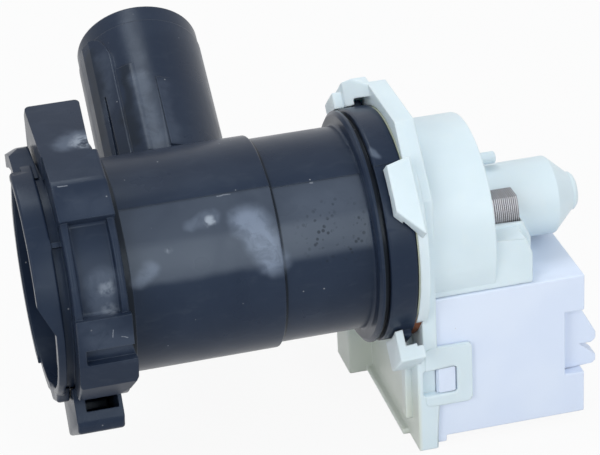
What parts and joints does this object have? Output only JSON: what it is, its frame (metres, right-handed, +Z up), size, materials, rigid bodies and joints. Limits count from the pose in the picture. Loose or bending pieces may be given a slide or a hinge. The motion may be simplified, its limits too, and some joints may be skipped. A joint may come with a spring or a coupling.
{
  "type": "washer drain pump",
  "caption": "Drain pump of a washing machine: filter housing with inlet and outlet spigots, twist-on pump head, wet rotor with impeller and coil case.",
  "frame": {"origin": "on the pump axis in the plane of the filter mouth", "axes": "+X along the pump axis from the filter mouth to the motor, +Y the way the hose spigots point, +Z up"},
  "size_m": [0.1827, 0.1358, 0.1237],
  "materials": {
    "housing_plastic": "satin moulded glass-filled polypropylene",
    "cover_plastic": "natural translucent polypropylene",
    "case_plastic": "white moulded plastic",
    "seal_rubber": "orange-brown rubber",
    "black_rubber": "black rubber",
    "carrier_plastic": "glass-filled plastic",
    "bearing_carbon": "carbon bearing",
    "core_steel": "stamped electrical sheet",
    "bobbin_plastic": "moulded plastic",
    "winding_wire": "enamelled copper wire",
    "terminal_metal": "tinned brass",
    "shaft_steel": "ground stainless steel",
    "magnet_ferrite": "ferrite ring magnet",
    "washer_plastic": "bearing plastic",
    "impeller_plastic": "glass-filled polypropylene"
  },
  "bodies": {
    "housing": {"filter_housing": "housing_plastic"},
    "pump_head": {"pump_cover": "cover_plastic", "cover_seal": "seal_rubber", "bearing_carrier": "carrier_plastic", "carrier_seal": "black_rubber", "front_bearing": "bearing_carbon", "front_bearing_mount": "black_rubber", "rear_bearing": "bearing_carbon", "rear_bearing_mount": "black_rubber", "coil_case": "case_plastic", "stator_core": "core_steel", "front_bobbin": "bobbin_plastic", "rear_bobbin": "bobbin_plastic", "front_winding": "winding_wire", "rear_winding": "winding_wire", "live_terminal": "terminal_metal", "neutral_terminal": "terminal_metal", "thermal_cutout": "bobbin_plastic"},
    "rotor": {"rotor_shaft": "shaft_steel", "rotor_core": "carrier_plastic", "rotor_magnet": "magnet_ferrite", "front_thrust_washer": "washer_plastic", "rear_thrust_washer": "washer_plastic", "impeller_washer": "washer_plastic", "drive_dog": "impeller_plastic"},
    "impeller": {"impeller": "impeller_plastic", "hub_cover": "impeller_plastic"}
  },
  "joints": [
    {"name": "bayonet_twist", "type": "hinge", "parent": "housing", "child": "pump_head", "pos_m": [0.1141, 0, 0], "axis": [-1, 0, 0], "range_deg": [0, 24]},
    {"name": "rotor_spin", "type": "hinge", "parent": "pump_head", "child": "rotor", "pos_m": [0.148, 0, 0], "axis": [1, 0, 0], "continuous": true},
    {"name": "impeller_play", "type": "hinge", "parent": "rotor", "child": "impeller", "pos_m": [0.11, 0, 0], "axis": [1, 0, 0], "range_deg": [0, 184]}
  ]
}
